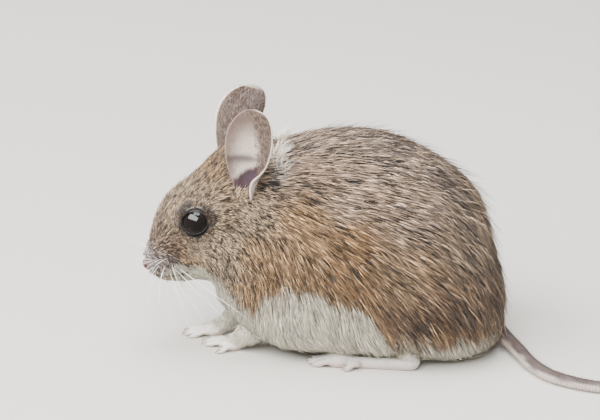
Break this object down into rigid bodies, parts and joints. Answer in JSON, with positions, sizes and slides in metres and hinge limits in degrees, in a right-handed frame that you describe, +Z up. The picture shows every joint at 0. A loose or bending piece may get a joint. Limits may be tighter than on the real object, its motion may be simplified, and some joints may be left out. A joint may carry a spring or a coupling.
{
  "type": "field mouse figure",
  "caption": "Life-size long-tailed field mouse crouching on all fours, ears up, long tail curling along the floor.",
  "frame": {"origin": "middle of the bounding box's bottom face, on the floor the mouse rests on", "axes": "-X the way the mouse faces, +X towards the end of the tail, -Y the mouse's left side, +Z up"},
  "size_m": [0.1378, 0.0472, 0.0515],
  "materials": {
    "coat": "soft short fur",
    "bare_skin": "thin skin with a very fine down",
    "eye": "wet, black"
  },
  "bodies": {
    "root": {"head": "coat", "neck": "coat", "trunk": "coat", "thigh_left": "coat", "thigh_right": "coat", "ear_left": "bare_skin", "ear_right": "bare_skin", "nose": "bare_skin", "foreleg_left": "bare_skin", "foreleg_right": "bare_skin", "forefoot_left": "bare_skin", "forefoot_right": "bare_skin", "hindfoot_left": "bare_skin", "hindfoot_right": "bare_skin", "tail_base": "bare_skin", "tail_middle": "bare_skin", "tail_tip": "bare_skin", "eye_left": "eye", "eye_right": "eye"}
  },
  "joints": []
}
